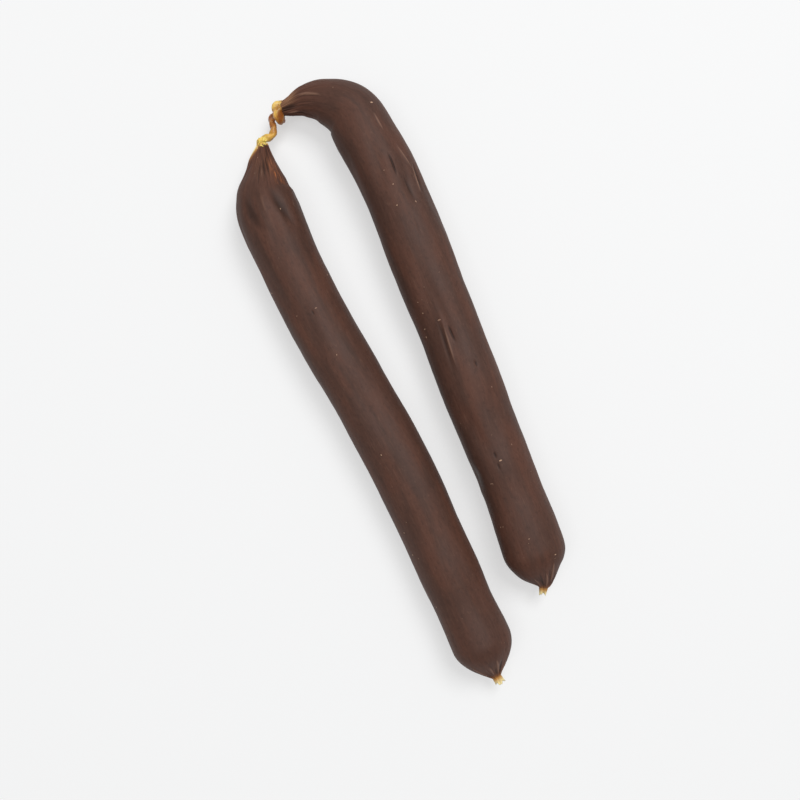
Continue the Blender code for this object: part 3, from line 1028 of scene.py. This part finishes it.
# %% Route of the strand
STRAND_ROUTE = (
    (-0.0137, 0.0812, 0.0076, 0.0009),
    (-0.0131, 0.0826, 0.0079, 0.0014),
    (-0.0122, 0.0838, 0.0081, 0.0015),
    (-0.0109, 0.0845, 0.0079, 0.0012),
    (-0.0092, 0.0845, 0.0075, 0.0011),
    (-0.0079, 0.0855, 0.0072, 0.0011),
    (-0.0073, 0.0870, 0.0069, 0.0010),
    (-0.0071, 0.0885, 0.0064, 0.0010),
    (-0.0068, 0.0900, 0.0054, 0.0010),
    (-0.0061, 0.0911, 0.0042, 0.0009),
    (-0.0048, 0.0912, 0.0035, 0.0009),
    (-0.0039, 0.0898, 0.0042, 0.0010),
    (-0.0041, 0.0882, 0.0060, 0.0010),
    (-0.0046, 0.0880, 0.0079, 0.0013),
    (-0.0045, 0.0892, 0.0089, 0.0015),
    (-0.0042, 0.0908, 0.0089, 0.0015),
    (-0.0037, 0.0921, 0.0086, 0.0014),
    (-0.0019, 0.0921, 0.0082, 0.0010),
    (0.0002, 0.0912, 0.0079, 0.0008),
)
STRAND_STEP = 0.00012


def strand_line(name):
    line = Line(STRAND_ROUTE, 3)
    count = round(line.length / STRAND_STEP)
    stations = [line.point(line.length * i / count) for i in range(count + 1)]
    mesh = bpy.data.meshes.new(name)
    mesh.from_pydata([station[:3] for station in stations], [(i, i + 1) for i in range(count)], [])
    carry(mesh, "reach", [station[3] for station in stations])
    carry(mesh, "run", [line.length * i / count for i in range(count + 1)])
    carry(mesh, "centre", [tuple(station[:3]) for station in stations])
    print("the strand is", round(line.length * MM, 1), "mm long")
    return bpy.data.objects.new(name, mesh), line.length


strand, strand_length = strand_line("strand_line")

# %% [markdown]
# ## Colours of the strand
#
# Bare casing is a thin, hard skin like horn. It is pale yellow where it is crumpled and full of
# air, and deep amber in places. The coil's side next to the right link and the strand's flanks are
# painted deep amber as shade. Light goes a little way in, so the material has some subsurface
# scattering, and a wet-looking coat from the dried gelatine.

# %% Bare casing
STRAND_STOPS = (
    (0.00, srgb(252, 226, 118)),
    (0.12, srgb(246, 216, 108)),
    (0.20, srgb(222, 172, 76)),
    (0.30, srgb(170, 112, 52)),
    (0.42, srgb(160, 98, 42)),
    (0.60, srgb(172, 98, 44)),
    (0.70, srgb(200, 126, 46)),
    (0.78, srgb(238, 180, 80)),
    (0.86, srgb(246, 210, 118)),
    (1.00, srgb(120, 64, 36)),
)
PALE_CREST_HIGHLIGHT = srgb(250, 228, 140)
DEEP_AMBER_AND_SHADE = srgb(124, 58, 20)

casing_material, tree = finish_material("bare_casing")
place = tree.node("ShaderNodeTexCoord", None, None, out="Object")
share, relief = attribute(tree, "share"), attribute(tree, "relief")
cloud = tree.noise(place, (0.0011, 0.0011, 0.0011), 3.0)
fibre = tree.noise(place, (0.0003, 0.0003, 0.0003), 2.0)
amber = tree.node("ShaderNodeValToRGB", {"stops": STRAND_STOPS}, {"Fac": share})
# Painted shade: darker on the coil's side next to the right link and on the strand's flanks.
amber = mixed(tree, amber, DEEP_AMBER_AND_SHADE, attribute(tree, "tight") * 0.85)
# Painted shade in the crumples' grooves, painted highlight on their crests.
amber = mixed(tree, amber, DEEP_AMBER_AND_SHADE, tree.smooth(relief, 0.00002, -0.00022) * 0.40)
amber = mixed(tree, amber, PALE_CREST_HIGHLIGHT, tree.smooth(relief, 0.00002, 0.00022) * 0.45)
amber = mixed(tree, amber, DEEP_AMBER_AND_SHADE, tree.smooth(cloud, 0.52, 0.80) * 0.30)
bump = tree.node("ShaderNodeBump", None, {"Height": fibre, "Distance": 0.00005, "Strength": 0.5})
shader = tree.node("ShaderNodeBsdfPrincipled", None, {
    "Base Color": amber,
    "Roughness": 0.34 + fibre * 0.16,
    "Normal": bump,
    "Subsurface Weight": 0.30,
    "Subsurface Scale": 0.001,
    "Subsurface Radius": (1.0, 0.5, 0.2),
    "Specular IOR Level": 0.35,
    "Coat Weight": 0.10,
    "Coat Roughness": 0.2,
})
tree.node("ShaderNodeOutputMaterial", None, {"Surface": shader})
print("casing material with", len(casing_material.node_tree.nodes), "nodes")

# %% [markdown]
# ## Twisting the strand
#
# A real twist shows as two grooves that wind round the strand. They could be carved into the mesh
# by hand, but their depth is only a cosine of the angle, which turns as the strand runs on. The
# tree also stores where shade is painted on the strand: on the coil's side next to the right link,
# and on the flanks.

# %% The tree that twists the strand
STRAND_SIZES = {
    "Sides": 64,
    "Length": 0.03,
    "Groove": 0.09,
    "Turn": 0.0052,
    "Crumple Height": 0.00025,
    "Knob End": 0.0050,
    "Knob Crumple": 0.0013,
    "Coil Start": 0.58,
    "Coil End": 0.90,
}
CRUMPLE_SPACING = (0.0010, 0.0010, 0.0010)
KNOB_FADE = 0.7
COIL_RISE, COIL_FALL = 0.06, 0.10
# Where the strand's painted shade falls: on the coil's side towards the right link, and on the
# flanks, less towards the top.
TOWARDS_RIGHT_LINK = (0.92, -0.38, 0.0)
SHADED_SIDE = (-0.62, 0.30)
UPWARD = (0.0, 0.0, 1.0)
FLANK_EDGE = (0.0, 0.9)
FLANK_SHARE = 0.6


def painted_strand_shade(tree, outward, share):
    """Painted shade on the strand: most on the coil's side towards the right link, some on its
    flanks.
    """
    size = tree.size
    coil = tree.smooth(share, size("Coil Start"), size("Coil Start") + COIL_RISE)
    coil = coil * (1.0 - tree.smooth(share, size("Coil End") - COIL_FALL, size("Coil End")))
    link_side_shade = tree.smooth(tree.dot(outward, TOWARDS_RIGHT_LINK), *SHADED_SIDE) * coil
    flank = 1.0 - tree.smooth(tree.dot(outward, UPWARD), *FLANK_EDGE)
    return tree.math("MAXIMUM", link_side_shade, flank * FLANK_SHARE)


def strand_tree():
    tree = geometry_tree("twisted strand", STRAND_SIZES)
    size = tree.size
    line = tree.node("GeometryNodeMeshToCurve", None, {"Mesh": size("Geometry")})
    line = tree.node("GeometryNodeSetCurveNormal", None, {"Curve": line})
    circle = tree.node("GeometryNodeCurvePrimitiveCircle", None,
                       {"Resolution": size("Sides"), "Radius": 1.0})
    circle = tree.stored(circle, "around", tree.node("GeometryNodeSplineParameter"))
    run, reach = tree.carried("run"), tree.carried("reach")
    sweep = tree.node("GeometryNodeCurveToMesh", None, {
        "Curve": line,
        "Profile Curve": circle,
        "Scale": tree.carried("reach"),
        "Fill Caps": True,
    })
    place = tree.node("GeometryNodeInputPosition")
    twist = (tree.carried("around") - run / size("Turn")) * math.tau
    groove = tree.math("COSINE", twist * 2.0) * size("Groove") * reach
    knob = 1.0 - tree.smooth(run, size("Knob End") * KNOB_FADE, size("Knob End"))
    rough = tree.noise(place, CRUMPLE_SPACING, 2.0) - 0.5
    crumple_height = size("Crumple Height") + knob * size("Knob Crumple")
    crumple = (abs(rough) * 4.0 - 0.5) * crumple_height * 0.5
    lift = groove + crumple
    centre = tree.carried("centre", "FLOAT_VECTOR")
    outward = tree.vector("NORMALIZE", tree.vector("SUBTRACT", place, centre))
    shaped = tree.node("GeometryNodeSetPosition", None,
                       {"Geometry": sweep, "Offset": tree.scaled(outward, lift)})
    share = run / size("Length")
    shaped = tree.stored(shaped, "share", share)
    shaped = tree.stored(shaped, "tight", painted_strand_shade(tree, outward, share) * (1.0 - knob))
    shaped = tree.stored(shaped, "relief", lift)
    close_tree(tree, shaped, casing_material)
    return tree


strand_sizes = {**STRAND_SIZES, "Length": strand_length}
twisted_casing = grown(strand, strand_tree(), strand_sizes, "twisted_casing")
forget(twisted_casing, ("centre", "run", "reach", "around"))
told(twisted_casing)

# %% [markdown]
# ## Flakes on the skin
#
# Tiny flakes of dry casing and fat cling to the skin as pale flecks. There are too many to place by
# hand, so Geometry Nodes scatter them over both links with a fixed seed, and the few large ones
# that catch the eye are dropped onto the skin from above at noted places.

# %% The flakes' finish and places
FLAKE_TAN = srgb(206, 168, 138)
NOTED_FLAKES = (
    (-0.0159, 0.0304, 1.5),
    (-0.0175, 0.0746, 0.9),
    # The next flake is a painted highlight: a pale flake set where the skin shows a glint.
    (0.0223, 0.0803, 2.0),
    (0.0179, 0.0600, 1.0),
    (0.0188, 0.0552, 0.9),
    (0.0175, 0.0491, 1.0),
    (0.0161, 0.0134, 2.2),
    (0.0113, 0.0127, 1.0),
    (0.0125, 0.0172, 0.9),
    (0.0169, -0.0314, 1.9),
    (0.0118, -0.0369, 0.9),
    (0.0102, -0.0500, 0.9),
    (0.0158, -0.0557, 1.0),
    (0.0213, -0.0632, 1.2),
)
FLAKE_SIZES = {
    "Flake Length": 0.00050,
    "Flake Width": 0.00022,
    "Flake Height": 0.00008,
    "Per Square Metre": 4200.0,
    "Seed": 7,
}

flake_material, tree = finish_material("dry_flake")
place = tree.node("ShaderNodeTexCoord", None, None, out="Object")
tint = tree.noise(place, (0.004, 0.004, 0.004), 2.0)
shader = tree.node("ShaderNodeBsdfPrincipled", None, {
    # Here the pale tan is the flakes' own tone.
    "Base Color": mixed(tree, FLAKE_TAN, TAN_AND_RIDGE_HIGHLIGHT, tree.smooth(tint, 0.40, 0.60)),
    "Roughness": 0.45 + tint * 0.2,
})
tree.node("ShaderNodeOutputMaterial", None, {"Surface": shader})
print("flake material with", len(flake_material.node_tree.nodes), "nodes")

# %% [markdown]
# ## Scattering the flakes
#
# Dry flakes lie flat on the skin and turn every way. A particle system would place them too, but
# its seed and its export are harder to keep in hand, so the tree puts one small bent blob on each
# point, laid along the skin. The noted ones get their point from a ray that falls on the skin.

# %% Scatter the flakes
def dropped_points(name, skins):
    """Points on the skins right below the noted places, with the skin's normal and a size."""
    graph = bpy.context.evaluated_depsgraph_get()
    trees = [BVHTree.FromObject(skin, graph) for skin in skins]
    spots, normals, sizes = [], [], []
    for x, y, scale in NOTED_FLAKES:
        hits = [found.ray_cast(Vector((x, y, 0.1)), Vector((0.0, 0.0, -1.0))) for found in trees]
        place, normal = next((hit[0], hit[1]) for hit in hits if hit[0] is not None)
        spots.append(tuple(place))
        normals.append(tuple(normal))
        sizes.append(scale)
    mesh = bpy.data.meshes.new(name)
    mesh.from_pydata(spots, [], [])
    carry(mesh, "facing", normals)
    carry(mesh, "scale", sizes)
    return bpy.data.objects.new(name, mesh)


def flake_tree(skins):
    tree = geometry_tree("flakes", FLAKE_SIZES)
    size = tree.size
    noted = tree.node("GeometryNodeMeshToPoints", None, {"Mesh": size("Geometry")})
    facing = tree.carried("facing", "FLOAT_VECTOR")
    upright = tree.node("FunctionNodeAlignRotationToVector", {"axis": "Z"}, {"Vector": facing})
    flake = tree.node("GeometryNodeMeshIcoSphere", None, {"Radius": 0.5, "Subdivisions": 2})
    bent = tree.noise(tree.node("GeometryNodeInputPosition"), (0.5, 0.5, 0.5), 2.0)
    flake = tree.node("GeometryNodeSetPosition", None,
                      {"Geometry": flake, "Offset": tree.xyz(0.0, 0.0, bent - 0.5)})
    shape = tree.xyz(size("Flake Length"), size("Flake Width"), size("Flake Height"))
    parts = [tree.node("GeometryNodeInstanceOnPoints", None, {
        "Points": noted,
        "Instance": flake,
        "Rotation": upright,
        "Scale": tree.scaled(shape, tree.carried("scale")),
    })]
    for number, skin in enumerate(skins):
        info = tree.node("GeometryNodeObjectInfo", None, {"Object": skin}, out="Geometry")
        spread = tree.node("GeometryNodeDistributePointsOnFaces", None, {
            "Mesh": info,
            "Density": size("Per Square Metre"),
            "Seed": size("Seed") + number,
        })
        turned = Value(tree, spread.socket.node.outputs["Rotation"])
        scale = tree.node("FunctionNodeRandomValue", {"data_type": "FLOAT"},
                          {2: 0.0, 3: 1.0, "Seed": number}, out=1)
        uneven = tree.scaled(shape, scale * scale * scale * 1.1 + 0.35)
        parts.append(tree.node("GeometryNodeInstanceOnPoints", None, {
            "Points": spread,
            "Instance": flake,
            "Rotation": turned,
            "Scale": uneven,
        }))
    joined = tree.group.nodes.new("GeometryNodeJoinGeometry")
    for part in parts:
        tree.group.links.new(part.socket, joined.inputs[0])
    close_tree(tree, Value(tree, joined.outputs[0]), flake_material)
    return tree


skins = [left_link, right_link]
spots = dropped_points("flake_spots", skins)
flakes = grown(spots, flake_tree(skins), FLAKE_SIZES, "casing_flakes")
told(flakes)

# %% [markdown]
# ## Fitting the pieces to the frame
#
# Every piece stands for the one plain solid, so each of them replaces it and rides on its body.

# %% Ride and replace
for piece, slot in (
    (left_link, "dried_sausage"),
    (right_link, "dried_sausage"),
    (twisted_casing, "dried_casing"),
    (flakes, "dried_casing"),
):
    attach(piece, "root")
    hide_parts("sausage_string")
